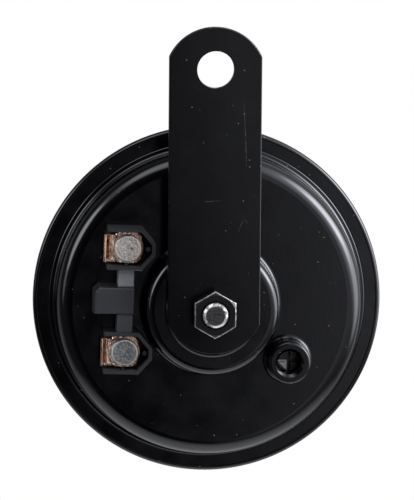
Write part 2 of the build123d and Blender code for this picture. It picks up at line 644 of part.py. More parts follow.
def breaker_bracket():
    """A Z-shaped steel foot, welded to the back plate, that carries the insulated stack."""
    t, half, left = BRACKET_ARM_T, CARRIER_HALF_W, -STACK_HALF
    section = [
        (STACK_HALF, ARM_Z), (STACK_HALF, ARM_Z + t), (left, ARM_Z + t), (left, INNER_BACK_Z),
        (left - BRACKET_FOOT, INNER_BACK_Z), (left - BRACKET_FOOT, INNER_BACK_Z - t),
        (left - t, INNER_BACK_Z - t), (left - t, ARM_Z),
    ]
    bends = [0, 0, 0.3, 0.9, 0, 0, 0.3, 0.9]
    face = make_face(FilletPolyline(*[(u, 0, z) for u, z in section], radius=bends, close=True))
    foot = Pos(0, half, 0) * extrude(face, 2 * half, dir=(0, -1, 0))
    for x in (-BREAKER_RIVET_X, BREAKER_RIVET_X):
        foot -= disc(BREAKER_RIVET_R + HOLE_GAP, ARM_Z, ARM_Z + t, x, 0)
    return at_breaker(foot)


def contact_carrier():
    """The stiff arm of the fixed contact, bent by the adjusting screw, with a tab for its wire."""
    z0, z1, half = CARRIER_Z, CARRIER_TOP_Z, CARRIER_HALF_W
    arm = slab(-STACK_HALF, CARRIER_REACH, -half, half, z0, z1)
    arm += disc(half + 0.5, z0, z1, CARRIER_REACH, 0)
    arm += slab(-STACK_HALF, -STACK_HALF + 3.6, half, half + 4, z0, z1)
    for x in (-BREAKER_RIVET_X, BREAKER_RIVET_X):
        arm -= disc(BOSSLET_R, z0, z1, x, 0)
    return at_breaker(arm)


def moving_contact_spring():
    """The thin leaf of the moving contact, with a finger over the armature's flange."""
    z0, z1 = LEAF_Z, LEAF_Z + LEAF_T
    axis_distance = breaker_axis_distance()
    tip = axis_distance - ARM_FLANGE_R + FINGER_OVERLAP
    leaf = slab(LEAF_TAIL, CONTACT_X + FINGER_HALF_W, -LEAF_HALF_W, LEAF_HALF_W, z0, z1)
    leaf += slab(CONTACT_X - FINGER_HALF_W, CONTACT_X + FINGER_HALF_W, 0, tip, z0, z1)
    for x in (-BREAKER_RIVET_X, BREAKER_RIVET_X):
        leaf -= disc(BOSSLET_R, z0, z1, x, 0)
    return at_breaker(leaf)


def breaker_axis_distance():
    """Distance from the breaker's arms to the horn's axis, across the arms."""
    a = radians(BREAKER_TURN)
    return BREAKER_X * sin(a) - BREAKER_Y * cos(a)


def breaker_insulators():
    """Three phenolic pieces: the middle one has bosses that line the rivet holes of both arms."""
    half, wide = STACK_HALF, CARRIER_HALF_W
    middle = slab(-half, half, -wide, wide, LEAF_Z + LEAF_T, CARRIER_Z)
    for x in (-BREAKER_RIVET_X, BREAKER_RIVET_X):
        middle += disc(BOSSLET_R, LEAF_Z, CARRIER_TOP_Z, x, 0)
    pieces = [slab(-half, half, -wide, wide, LEAF_Z - STACK_BOTTOM_T, LEAF_Z), middle]
    pieces += [slab(-half, half, -wide, wide, CARRIER_TOP_Z, ARM_Z)]
    bored = []
    for piece in pieces:
        for x in (-BREAKER_RIVET_X, BREAKER_RIVET_X):
            piece -= disc(BREAKER_RIVET_R + THREAD_GAP, LEAF_Z - STACK_BOTTOM_T, ARM_Z, x, 0)
        bored.append(at_breaker(piece))
    return Compound(bored)


def breaker_rivets():
    """Two rivets through the stack."""
    z0, z1 = LEAF_Z - STACK_BOTTOM_T, ARM_Z + BRACKET_ARM_T
    rivets = []
    for x in (-BREAKER_RIVET_X, BREAKER_RIVET_X):
        rivet = disc(BREAKER_RIVET_R, z0, z1, x, 0)
        rivet += disc(BREAKER_HEAD_R, z0 - BREAKER_HEAD_H, z0, x, 0)
        rivet += disc(BREAKER_HEAD_R, z1, z1 + BREAKER_HEAD_H, x, 0)
        rivets.append(at_breaker(rivet))
    return Compound(rivets)


def contact_point(z0):
    """A tungsten button, riveted on its arm."""
    return at_breaker(disc(CONTACT_R, z0, z0 + CONTACT_T, CONTACT_X, 0))


def screw_button():
    """The insulating button on the carrier, under the tip of the adjusting screw."""
    return disc(PAD_R, CARRIER_TOP_Z, SCREW_TIP_Z, ADJ_X, ADJ_Y)


# ---- Leads ----


def lead(points):
    """A round enamelled wire along straight runs joined by arcs."""
    route = FilletPolyline(*points, radius=LEAD_BEND_R)
    start = Plane(origin=route @ 0, z_dir=route % 0)
    return sweep(start * Circle(LEAD_R), path=route)


def winding_point(angle):
    """Where a wire leaves the outside of the winding."""
    a, r = radians(angle), WINDING_R + LEAD_START_GAP
    return (r * cos(a), r * sin(a), LEAD_Z)


def on_tag(side, along):
    """A point on the front face of a solder tag's tongue."""
    eye_x, eye_y, _ = terminal_point(side, 0, 0, 0)
    reach = hypot(eye_x, eye_y)
    keep = (reach - along) / reach
    return (eye_x * keep, eye_y * keep, LEAD_Z)


def upper_lead():
    """From the winding to the upper terminal's tag."""
    return lead([winding_point(146), (-17.6, 12.9, LEAD_Z), on_tag(1, 4.5)])


def contact_lead():
    """From the winding down to the tail of the moving contact."""
    z_leaf = LEAF_Z + LEAF_T + LEAD_R
    return lead([
        winding_point(-75), breaker_point(1.0, 9.5, LEAD_Z), breaker_point(-6.6, 7.2, (LEAD_Z + z_leaf) / 2),
        breaker_point(-7.8, 2.6, z_leaf), breaker_point(-7.8, -1.6, z_leaf),
    ])


def lower_lead():
    """From the fixed contact's tab to the lower terminal's tag."""
    z_tab = CARRIER_TOP_Z + LEAD_R
    return lead([
        breaker_point(-2.8, 4.6, z_tab), breaker_point(-3.2, 10.5, z_tab),
        breaker_point(-7.0, 18.0, (LEAD_Z + z_tab) / 2), breaker_point(-10.2, 25.4, LEAD_Z), on_tag(-1, 4.5),
    ])


# ---- Write every piece ----

os.makedirs("parts", exist_ok=True)

finish("housing", housing())
finish("tuning_bush", tuning_bush())
finish("front_cover", front_cover())
finish("rear_gasket", gasket(DIAPHRAGM_REAR_Z))
finish("front_gasket", gasket(COVER_SEAT_Z))
finish("diaphragm", diaphragm())

finish("bracket_strap", bracket_strap())
finish("bracket_washer", bracket_washer())
finish("bracket_nut", hexagon_nut(NUT_AF, NUT_H, STUD_R + THREAD_GAP, NUT_Z, NUT_AF / 2 - 0.1))
finish("core_stud", core_stud())

finish("coil_bobbin", coil_bobbin())
finish("coil_winding", coil_winding())
finish("magnet_frame", magnet_frame())

finish("armature", armature())
finish("tone_disc_spacer", tone_disc_spacer())
finish("tone_disc", tone_disc())
finish("tone_disc_washer", tone_disc_washer())
finish("tone_disc_nut", tone_disc_nut())

finish("terminal_block", terminal_block())
finish("inner_insulator", inner_insulator())
for word, end in (("upper", 1), ("lower", -1)):
    finish(f"{word}_terminal_plate", terminal_plate(end))
    finish(f"{word}_clamp_plate", clamp_plate(end))
    finish(f"{word}_terminal_rivet", terminal_rivet(end))
    finish(f"{word}_solder_tag", solder_tag(end))

finish("adjusting_screw", adjusting_screw())
finish("screw_button", screw_button())
finish("breaker_bracket", breaker_bracket())
finish("contact_carrier", contact_carrier())
finish("moving_contact_spring", moving_contact_spring())
finish("breaker_insulators", breaker_insulators())
finish("breaker_rivets", breaker_rivets())
finish("fixed_contact", contact_point(CARRIER_Z - CONTACT_T))
finish("moving_contact", contact_point(LEAF_Z + LEAF_T))

finish("upper_lead", upper_lead())
finish("contact_lead", contact_lead())
finish("lower_lead", lower_lead())
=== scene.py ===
import json
import math

import bmesh
import bpy
from mathutils import Matrix, Vector


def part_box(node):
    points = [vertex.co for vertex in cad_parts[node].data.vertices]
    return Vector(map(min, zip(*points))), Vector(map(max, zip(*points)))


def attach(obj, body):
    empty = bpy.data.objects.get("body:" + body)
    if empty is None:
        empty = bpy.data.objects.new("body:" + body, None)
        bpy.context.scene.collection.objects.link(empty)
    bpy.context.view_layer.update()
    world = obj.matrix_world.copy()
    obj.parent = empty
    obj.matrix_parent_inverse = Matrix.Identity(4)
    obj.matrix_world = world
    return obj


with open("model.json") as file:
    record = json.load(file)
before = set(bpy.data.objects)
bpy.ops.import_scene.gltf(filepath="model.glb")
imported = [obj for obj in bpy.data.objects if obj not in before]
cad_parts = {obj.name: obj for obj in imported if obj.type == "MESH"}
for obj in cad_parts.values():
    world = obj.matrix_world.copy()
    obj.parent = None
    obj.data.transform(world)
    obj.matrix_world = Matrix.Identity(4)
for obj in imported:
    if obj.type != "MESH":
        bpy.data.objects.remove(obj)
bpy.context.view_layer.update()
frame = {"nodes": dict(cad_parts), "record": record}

MM = 0.001
NODES = frame["nodes"]

# ---- Outlines of the turned pieces, in mm: R from the horn's axis, Z from the rim's middle
# towards the rear ----
LIP_Z = 1.9             # the folded lip
CROWN_H = 0.12          # the step along the fold's crown, above the lip
FOLD_R = 1.2            # rounding of the fold
SKIN = 0.03             # how far the fold's skin stands outside the CAD
BACK_Z = 15.5           # the pot's back plate
WALL_R = 48.8           # the pot's wall at its foot
POT_TOP_R = 48.65       # the pot's wall at its corner
POT_CORNER_R = 5.0
SHOULDER_Z = 2.5
SHOULDER_R = 50.7
SHOULDER_EDGE_R = 0.55
SHOULDER_FOOT_R = 1.1

# ---- Places that the looks need, in metres in the row's frame ----
disc_low, disc_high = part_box("front_cover")
DISC_Z = (disc_low.z + disc_high.z) / 2
RIM_R = (disc_high.z - disc_low.z) / 2 / MM
RIM_MIDDLE_Y = disc_low.y + LIP_Z * MM + CROWN_H * MM
stud_low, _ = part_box("core_stud")
STUD_R = 4.0 * MM
STUD_END_Y = stud_low.y
bush_low, bush_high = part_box("tuning_bush")
BUSH_X, BUSH_Z = (bush_low.x + bush_high.x) / 2, (bush_low.z + bush_high.z) / 2
nut_low, nut_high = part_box("bracket_nut")
NUT_REAR_Y = nut_low.y
NUT_FLAT = min(nut_high.x - nut_low.x, nut_high.z - nut_low.z) / 2
head_low, head_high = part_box("upper_terminal_rivet")
UPPER_HEAD = ((head_low.x + head_high.x) / 2, (head_low.z + head_high.z) / 2)
HEAD_R = (head_high.x - head_low.x) / 2
head_low, head_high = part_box("lower_terminal_rivet")
LOWER_HEAD = ((head_low.x + head_high.x) / 2, (head_low.z + head_high.z) / 2)
BLOCK_Z = (UPPER_HEAD[1] + LOWER_HEAD[1]) / 2 - DISC_Z
RUST_X, RUST_Z = UPPER_HEAD[0] + 1.1 * MM, UPPER_HEAD[1] + 0.1 * MM


# ---- Camera ----
CAMERA_DISTANCE = 1.6
CAMERA_LEFT = 4.39      # degrees left of the horn's axis
CAMERA_ABOVE = 7.7      # degrees above it
CAMERA_ROLL = 0.467     # degrees
FOCAL_PIXELS = 5043
PHOTO_H = 500
SENSOR_MM = 36
LOOK_AT = Vector((-1.09 * MM, 15 * MM, DISC_Z + 17.58 * MM))


def add_camera():
    left, above = math.radians(CAMERA_LEFT), math.radians(CAMERA_ABOVE)
    level_part = math.cos(above)
    back = Vector((-math.sin(left) * level_part, -math.cos(left) * level_part, math.sin(above)))
    data = bpy.data.cameras.new("camera")
    data.sensor_width = SENSOR_MM
    data.lens = FOCAL_PIXELS / PHOTO_H * data.sensor_width
    data.clip_start, data.clip_end = 0.05, 20
    camera = bpy.data.objects.new("camera", data)
    camera.location = LOOK_AT + back * CAMERA_DISTANCE
    aim = (-back).to_track_quat("-Z", "Y")
    roll = Matrix.Rotation(math.radians(CAMERA_ROLL), 3, "Z")
    camera.rotation_euler = (aim.to_matrix() @ roll).to_euler()
    bpy.context.scene.collection.objects.link(camera)
    bpy.context.scene.camera = camera


# ---- Light ----
LAMP_DISTANCE = 1.5

# Soft boxes, far away: direction, angles at which each is full and gone, and strength
SOFT_BOXES = (
    ((0.83, -0.30, 0.46), 6, 26, 8.5),
    ((0.80, -0.40, 0.46), 10, 44, 2.5),
    ((0.97, -0.10, 0.05), 5, 30, 4.0),
    ((-0.87, -0.28, 0.40), 3, 20, 4.0),
    ((-0.95, -0.30, 0.05), 3, 12, 1.5),
    ((-0.25, -0.29, 0.92), 3, 28, 2.6),
    ((-0.62, -0.28, 0.73), 4, 24, 0.9),
)

# The world's light rises steeply from left to right: tilt of that way towards +Z, rate and start
RISE_TILT, RISE_RATE, RISE_START = 0.1, 60.0, -5.96
# Ramps over a direction's part: where each begins and ends, and its levels there
RIGHT_CAP = (-0.55, -0.1, 0.22, 0.75)       # over Z: the most that the right side reaches
REAR_FLOOR = (-0.98, -0.6, 0.015, 0.1)      # over Y: the least, darkest on the horn's rear side
LOW_FLOOR = (-0.74, -1.0, 0.02, 0.7)        # over Z: the least, pale straight below
BACKDROP_TILT = -0.7
BACKDROP = (0.1, 0.6, 0.0, 0.4)             # over tilted Y: what mirrors see behind the horn
BACKDROP_DIP = (0.55, 0.95, 1.0, 0.12)      # over Y: dimmed straight behind it


def add_node(tree, kind, values=None, **settings):
    """Adds a node: settings are its properties, and values are set on its inputs or linked."""
    node = tree.nodes.new(kind)
    for name, value in settings.items():
        setattr(node, name, value)
    for key, value in (values or {}).items():
        if isinstance(value, bpy.types.NodeSocket):
            tree.links.new(value, node.inputs[key])
        else:
            node.inputs[key].default_value = value
    return node


def span_values(value, low, high, to_low, to_high):
    """Inputs of a Map Range node."""
    return {
        "Value": value, "From Min": low, "From Max": high, "To Min": to_low, "To Max": to_high,
    }


def add_lamp(name, toward, width, height, power):
    """A soft rectangular lamp, aimed at the middle of the disc from a direction."""
    data = bpy.data.lights.new(name, "AREA")
    data.shape = "RECTANGLE"
    data.size, data.size_y = width, height
    data.energy = power
    lamp = bpy.data.objects.new(name, data)
    direction = Vector(toward).normalized()
    lamp.location = Vector((0, 0, DISC_Z)) + direction * LAMP_DISTANCE
    lamp.rotation_euler = direction.to_track_quat("Z", "Y").to_euler()
    bpy.context.scene.collection.objects.link(lamp)


def add_light():
    """Weak lamps for shadow and depth. The soft boxes that the paint mirrors are in the world."""
    add_lamp("key", (0.83, -0.34, 0.44), 0.6, 0.6, 6)
    add_lamp("left", (-0.87, -0.31, 0.37), 0.5, 0.8, 2)


def add_world():
    """White to the camera. To other rays it is pale from the right and from far below, dark from
    the left and from the horn's rear side, with the soft boxes added. Mirrors also see a dim
    backdrop behind the horn."""
    world = bpy.data.worlds.new("world")
    world.use_nodes = True
    tree = world.node_tree
    tree.nodes.clear()

    def add(kind, values, **settings):
        return add_node(tree, kind, values, **settings).outputs

    def calculate(operation, a, b, c=0.0):
        return add("ShaderNodeMath", {0: a, 1: b, 2: c}, operation=operation)[0]

    def ramp(value, *ends):
        values = span_values(value, *ends)
        return add("ShaderNodeMapRange", values, interpolation_type="SMOOTHSTEP")[0]

    toward = add("ShaderNodeTexCoord", {})["Generated"]
    x, y, z = add("ShaderNodeSeparateXYZ", {0: toward})
    across = calculate("MULTIPLY_ADD", z, RISE_TILT, x)
    exponent = calculate("MULTIPLY_ADD", across, RISE_RATE, RISE_START)
    rise = calculate("EXPONENT", exponent, 0.0)
    light = calculate("MINIMUM", rise, ramp(z, *RIGHT_CAP))
    light = calculate("MAXIMUM", light, ramp(y, *REAR_FLOOR))
    light = calculate("MAXIMUM", light, ramp(z, *LOW_FLOOR))
    for direction, full, gone, strength in SOFT_BOXES:
        way = Vector(direction).normalized()
        facing = add("ShaderNodeVectorMath", {0: toward, 1: way}, operation="DOT_PRODUCT")["Value"]
        edge, core = math.cos(math.radians(gone)), math.cos(math.radians(full))
        light = calculate("ADD", light, ramp(facing, edge, core, 0.0, strength))
    behind = calculate("MULTIPLY_ADD", z, BACKDROP_TILT, y)
    backdrop = calculate("MULTIPLY", ramp(behind, *BACKDROP), ramp(y, *BACKDROP_DIP))
    path = add("ShaderNodeLightPath", {})
    mirrored = calculate("MAXIMUM", path["Is Glossy Ray"], path["Is Transmission Ray"])
    light = calculate("MAXIMUM", light, calculate("MULTIPLY", backdrop, mirrored))
    shown = {0: path["Is Camera Ray"], 2: light, 3: 1.0}
    strength = add("ShaderNodeMix", shown, data_type="FLOAT")[0]
    glow = add("ShaderNodeBackground", {"Color": (1, 1, 1, 1), "Strength": strength})[0]
    add("ShaderNodeOutputWorld", {"Surface": glow})
    bpy.context.scene.world = world


FLOOR_Z, FLOOR_R = -0.9, 1.2
FLOOR_SOLID = 0.35              # share of the floor's radius that doesn't fade


def add_floor():
    """A round pale floor, well below the horn and below the photograph's view."""
    mesh = bpy.data.meshes.new("floor")
    build = bmesh.new()
    bmesh.ops.create_circle(build, cap_ends=True, segments=96, radius=FLOOR_R)
    build.to_mesh(mesh)
    build.free()
    floor = bpy.data.objects.new("floor", mesh)
    floor.location = (0, 0, FLOOR_Z)
    look = Look("floor", roughness=0.6)
    look.colour(look.blend(look.patches(0.02, 3), (0.8, 0.8, 0.8), (0.84, 0.84, 0.84)))
    length = look.add("ShaderNodeVectorMath", {0: look.place}, operation="LENGTH")
    shown = look.span(length.outputs["Value"], FLOOR_R, FLOOR_SOLID * FLOOR_R)
    clear = look.add("ShaderNodeBsdfTransparent").outputs[0]
    soft = look.add("ShaderNodeMixShader", {0: shown, 1: clear, 2: look.shader.outputs[0]})
    output = look.tree.nodes["Material Output"]
    look.tree.links.new(soft.outputs[0], output.inputs["Surface"])
    mesh.materials.append(look.material)
    bpy.context.scene.collection.objects.link(floor)


# ---- Turned pieces: the pot's outside with its shoulder, and the rim's fold ----
TURN_STEPS = 480
CREASE = 30                     # degrees from which an edge of a turned piece is sharp

# The pot's skin, in mm
TUCK_WIDTH, TUCK_DEPTH = 0.45, 0.006        # its inner edge dips into the back plate
CORNER_LIFT = 0.004                         # its corner clears the CAD's
SHOULDER_SINK = 0.2                         # its foot goes below the lip
WALL_T = 0.9                                # from outside to inside at the foot
INNER_CORNER_IN, INNER_CORNER_LESS = 0.35, 0.5      # its inner corner's middle and radius

# The fold's skin, in mm inwards from the rim's edge, and Z
FOLD_INNER, CROWN_FOOT, CROWN_EDGE = 1.9, 1.45, 1.3
FOLD_SINK = 0.1
FOLD_FRONT_Z = 0.4
FOLD_T = 0.5
FOLD_UNDER = 0.6                            # its inside, below the lip


def level(z_mm):
    """Y of a level that is measured in mm from the middle of the rim towards the rear."""
    return RIM_MIDDLE_Y - z_mm * MM


def arc(r, z, radius, start, end, steps=12):
    """Points (r, z) in mm along an arc; angles in degrees from outwards towards the rear."""
    angles = [math.radians(start + (end - start) * i / steps) for i in range(steps + 1)]
    return [(r + radius * math.cos(a), z + radius * math.sin(a)) for a in angles]


def turned(name, outline):
    """A closed ring round the horn's axis, from its (r, z) outline in mm, that rides with the
    horn."""
    mesh = bpy.data.meshes.new(name)
    build = bmesh.new()
    rings = []
    for step in range(TURN_STEPS):
        turn = 2 * math.pi * step / TURN_STEPS
        across, up = math.cos(turn), math.sin(turn)
        rings.append([
            build.verts.new((r * MM * across, level(z), DISC_Z + r * MM * up)) for r, z in outline
        ])
    for step in range(TURN_STEPS):
        here, there = rings[step], rings[(step + 1) % TURN_STEPS]
        for i in range(len(outline)):
            j = (i + 1) % len(outline)
            face = build.faces.new((here[i], here[j], there[j], there[i]))
            face.smooth = True
    bmesh.ops.recalc_face_normals(build, faces=build.faces)
    build.to_mesh(mesh)
    build.free()
    piece = bpy.data.objects.new(name, mesh)
    bpy.context.scene.collection.objects.link(piece)
    edges = piece.modifiers.new("edges", "EDGE_SPLIT")
    edges.split_angle = math.radians(CREASE)
    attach(piece, "horn")
    return piece


def add_shoulder():
    """The outside of the pot, and the raised shoulder at its foot that stands above the folded
    lip."""
    corner_r, corner_z = POT_TOP_R - POT_CORNER_R, BACK_Z - POT_CORNER_R
    foot_r, foot_z = WALL_R + SHOULDER_FOOT_R, SHOULDER_Z + SHOULDER_FOOT_R
    edge_r, edge_z = SHOULDER_R - SHOULDER_EDGE_R, SHOULDER_Z - SHOULDER_EDGE_R
    under = LIP_Z - SHOULDER_SINK
    outline = [(corner_r - TUCK_WIDTH, BACK_Z - TUCK_DEPTH)]
    outline += arc(corner_r, corner_z + CORNER_LIFT, POT_CORNER_R, 90, 0, 28)
    outline += arc(foot_r, foot_z, SHOULDER_FOOT_R, 180, 270)
    outline += arc(edge_r, edge_z, SHOULDER_EDGE_R, 90, 0)
    outline += [(SHOULDER_R, under), (WALL_R - WALL_T, under)]
    inner_r = corner_r - INNER_CORNER_IN
    outline += arc(inner_r, corner_z, POT_CORNER_R - INNER_CORNER_LESS, 0, 90)
    return turned("pot_shoulder", outline)


def add_fold():
    """The outside of the rim's fold, rounded from the crown to the front."""
    crown = LIP_Z + CROWN_H + SKIN
    outline = [
        (RIM_R - FOLD_INNER, LIP_Z - FOLD_SINK), (RIM_R - FOLD_INNER, LIP_Z + SKIN),
        (RIM_R - CROWN_FOOT, LIP_Z + SKIN), (RIM_R - CROWN_EDGE, crown),
    ]
    outline += arc(RIM_R - FOLD_R, crown - FOLD_R, FOLD_R + SKIN, 90, 0)
    outline += [
        (RIM_R + SKIN, FOLD_FRONT_Z), (RIM_R - FOLD_T, FOLD_FRONT_Z),
        (RIM_R - FOLD_T, LIP_Z - FOLD_UNDER),
    ]
    return turned("rim_fold", outline)


# ---- Materials ----
COOL = (0.88, 0.9, 1.0, 1)      # the cool cast that black paint and plastic give a reflection


def opaque(colour):
    """A colour with full alpha. A socket stays as it is."""
    return (*colour, 1) if isinstance(colour, tuple) else colour


class Look:
    """One procedural material: short calls that add nodes to its tree."""

    def __init__(self, name, roughness=0.5, metallic=0.0, **sockets):
        self.material = bpy.data.materials.new(name)
        self.material.use_nodes = True
        self.tree = self.material.node_tree
        self.shader = self.tree.nodes["Principled BSDF"]
        self.shader.inputs["Roughness"].default_value = roughness
        self.shader.inputs["Metallic"].default_value = metallic
        for socket, value in sockets.items():
            self.shader.inputs[socket.replace("_", " ")].default_value = value
        self.place = self.tree.nodes.new("ShaderNodeTexCoord").outputs["Object"]
        self.x, self.y, self.z = self.add("ShaderNodeSeparateXYZ", {0: self.place}).outputs
        self.normal = None

    def add(self, kind, values=None, **settings):
        return add_node(self.tree, kind, values, **settings)

    def moved(self, seed, **values):
        """The place, shifted by a seed so that two noises differ."""
        values.update({"Vector": self.place, "Location": (seed, seed, seed)})
        return self.add("ShaderNodeMapping", values).outputs[0]

    def noise(self, per_mm, detail=2.0, stretch=(1, 1, 1), seed=0.0):
        """A noise with about this many features in a millimetre."""
        place = self.moved(seed, Scale=stretch)
        values = {"Vector": place, "Scale": per_mm * 1000, "Detail": detail}
        return self.add("ShaderNodeTexNoise", values).outputs["Fac"]

    def math(self, operation, a, b=0.0, clamp=False):
        values = {0: a, 1: b}
        return self.add("ShaderNodeMath", values, operation=operation, use_clamp=clamp).outputs[0]

    def times(self, first, *others):
        for other in others:
            first = self.math("MULTIPLY", first, other)
        return first

    def most(self, first, *others):
        for other in others:
            first = self.math("MAXIMUM", first, other)
        return first

    def span(self, value, low, high, to_low=0.0, to_high=1.0):
        """Maps low..high to another span, held at both ends."""
        values = span_values(value, low, high, to_low, to_high)
        return self.add("ShaderNodeMapRange", values).outputs[0]

    def patches(self, per_mm, detail, low=0.3, high=0.7, to=(0.0, 1.0), seed=0.0):
        """Noise whose low..high is mapped to another span."""
        return self.span(self.noise(per_mm, detail, seed=seed), low, high, *to)

    def blend(self, factor, a, b):
        """A colour between two."""
        values = {0: factor, 6: opaque(a), 7: opaque(b)}
        return self.add("ShaderNodeMix", values, data_type="RGBA").outputs[2]

    def specks(self, per_mm, radius, share, seed=0.0):
        """Small round dots: a share of the cells of a Voronoi pattern has one, with this radius
        in cells."""
        values = {"Vector": self.moved(seed), "Scale": per_mm * 1000}
        cells = self.add("ShaderNodeTexVoronoi", values).outputs
        near = self.span(cells["Distance"], radius * 0.6, radius, 1, 0)
        pick = self.add("ShaderNodeSeparateColor", {"Color": cells["Color"]}).outputs[0]
        return self.times(near, self.math("GREATER_THAN", pick, 1 - share))

    def distance_from_axis(self, x, z):
        """Distance from a line along Y."""
        dx, dz = self.math("SUBTRACT", self.x, x), self.math("SUBTRACT", self.z, z)
        return self.math("SQRT", self.math("ADD", self.times(dx, dx), self.times(dz, dz)))

    def line(self, start, end, width, taper=0.25):
        """A straight mark on a face that looks along Y, from one (x, z) to another, faint at its
        ends."""
        dx, dz = end[0] - start[0], end[1] - start[1]
        length = math.hypot(dx, dz)
        values = {
            "Vector": self.place, "Location": (start[0], 0, start[1]),
            "Rotation": (0, -math.atan2(dz, dx), 0),
        }
        along = self.add("ShaderNodeMapping", values, vector_type="TEXTURE").outputs[0]
        run, _, side = self.add("ShaderNodeSeparateXYZ", {"Vector": along}).outputs
        near = self.span(self.math("ABSOLUTE", side), width * 0.35, width, 1, 0)
        begun = self.span(run, 0, length * taper)
        left = self.span(run, length, length * (1 - taper))
        return self.times(begun, left, near)

    def spot(self, x, z, radius):
        """A small round mark on a face that looks along Y."""
        return self.span(self.distance_from_axis(x, z), radius * 0.5, radius, 1, 0)

    def colour(self, socket):
        self.tree.links.new(socket, self.shader.inputs["Base Color"])

    def rough(self, socket):
        self.tree.links.new(socket, self.shader.inputs["Roughness"])

    def wear(self, mask, metal, roughness):
        """Lays bare metal over what the material has so far, where the mask is 1."""
        inputs = self.shader.inputs
        under = inputs["Base Color"].links[0].from_socket
        dull = inputs["Roughness"].links[0].from_socket
        self.colour(self.blend(mask, under, metal))
        self.tree.links.new(mask, inputs["Metallic"])
        values = {0: mask, 2: dull, 3: roughness}
        self.rough(self.add("ShaderNodeMix", values, data_type="FLOAT").outputs[0])

    def bump(self, height, depth_mm):
        """Adds relief on top of what the material has so far."""
        values = {"Height": height, "Distance": depth_mm * MM, "Strength": 1.0}
        if self.normal is not None:
            values["Normal"] = self.normal
        self.normal = self.add("ShaderNodeBump", values).outputs[0]
        self.tree.links.new(self.normal, self.shader.inputs["Normal"])


# Black paint
SPECKS_PER_MM, SPECK_R = 0.55, 0.13
FILM_MOST = 0.012               # the thin film of dust between the specks
DUST_COLOUR = (0.14, 0.14, 0.15)
DUST_COVER, DUST_ROUGHNESS = 0.7, 0.15


def black_paint(name, dark, light, roughness, dust, seed=0.0):
    """Black paint over steel: slow shifts of tone and gloss, fine orange peel and dust."""
    look = Look(name, Specular_Tint=COOL)
    base = look.blend(look.patches(0.05, 3, 0.35, 0.65, seed=seed), dark, light)
    specks = look.specks(SPECKS_PER_MM, SPECK_R, dust, seed)
    film = look.patches(0.18, 4, 0.5, 0.8, (0, FILM_MOST), seed + 3)
    film = look.times(film, look.noise(3.0, 2, seed=seed))
    dusty = look.math("MAXIMUM", specks, film, clamp=True)
    look.colour(look.blend(look.times(dusty, DUST_COVER), base, DUST_COLOUR))
    gloss = look.patches(0.12, 4, to=(roughness - 0.04, roughness + 0.05), seed=seed + 7)
    look.rough(look.math("ADD", gloss, look.times(dusty, DUST_ROUGHNESS)))
    look.bump(look.noise(1.1, 3, seed=seed), 0.003)
    return look


def housing_paint():
    dark, light = (0.0003, 0.0003, 0.0006), (0.0008, 0.0008, 0.0013)
    return black_paint("black_paint", dark, light, 0.1, 0.16)


# Scratches on the strap, from one (x, z) to another from its hole, in mm
SCRATCHES = (
    ((8.9, -9.8), (9.9, -32.0)), ((9.4, -18.0), (9.9, -29.0)),
    ((7.0, -52.0), (9.2, -46.8)), ((9.2, -46.8), (10.6, -48.8)),
    ((-4.2, -41.6), (2.2, -41.2)),
)
SCRATCH_W = 0.13
# Chips in the strap's paint: x and z from its hole, and radius, in mm
CHIPS = (
    (-5.0, -12.6, 0.2), (4.2, -12.4, 0.2), (-5.5, -69.0, 0.28), (-4.4, -67.5, 0.15),
    (3.8, -66.4, 0.16),
)
# The strap's sheen grows towards its right and top: slope over x and z, its ends, levels there
SHEEN_X, SHEEN_Z = 1.2, 0.3
SHEEN = (-36 * MM, 8 * MM, 0.15, 0.44)


def strap_paint():
    """The strap's paint has fine scratches and chips, and shines more towards its right."""
    dark, light = (0.0006, 0.0006, 0.0009), (0.0014, 0.0014, 0.0018)
    look = black_paint("strap_paint", dark, light, 0.27, 0.1, seed=5.0)
    slope = look.math("ADD", look.times(look.x, SHEEN_X), look.times(look.z, SHEEN_Z))
    look.tree.links.new(look.span(slope, *SHEEN), look.shader.inputs["Specular IOR Level"])
    marks = [
        look.line([v * MM for v in start], [v * MM for v in end], SCRATCH_W * MM)
        for start, end in SCRATCHES
    ]
    marks += [look.spot(x * MM, z * MM, radius * MM) for x, z, radius in CHIPS]
    broken = look.patches(0.9, 4, 0.42, 0.62, (0.12, 1), seed=1.0)
    look.wear(look.times(look.most(*marks), broken), (0.08, 0.08, 0.085), 0.45)
    return look


def nut_paint():
    """Black, with bright metal painted along the six edges of its rear face, partly wear and
    partly a painted highlight.
    """
    look = black_paint("nut_black", (0.001, 0.001, 0.0013), (0.004, 0.004, 0.0048), 0.26, 0.2, 9.0)
    look.shader.inputs["Specular IOR Level"].default_value = 0.3
    values = {0: look.place, 1: (0, 0, DISC_Z)}
    middle = look.add("ShaderNodeVectorMath", values, operation="SUBTRACT").outputs[0]
    reaches = []
    for turn in (0, 60, 120):
        way = (math.cos(math.radians(turn)), 0, math.sin(math.radians(turn)))
        reach = look.add("ShaderNodeVectorMath", {0: middle, 1: way}, operation="DOT_PRODUCT")
        reaches.append(look.math("ABSOLUTE", reach.outputs["Value"]))
    # bright edges: partly wear, partly a painted highlight of the hexagon's edges
    edge = look.span(look.most(*reaches), NUT_FLAT - 0.38 * MM, NUT_FLAT - 0.05 * MM)
    rear = look.span(look.y, NUT_REAR_Y + 1.3 * MM, NUT_REAR_Y + 0.8 * MM)
    rubbed = look.patches(0.8, 3, 0.35, 0.6, (0.25, 1), seed=2.0)
    look.wear(look.times(edge, rear, rubbed), (0.4, 0.4, 0.42), 0.34)
    return look


THREAD_PITCH = 1.25


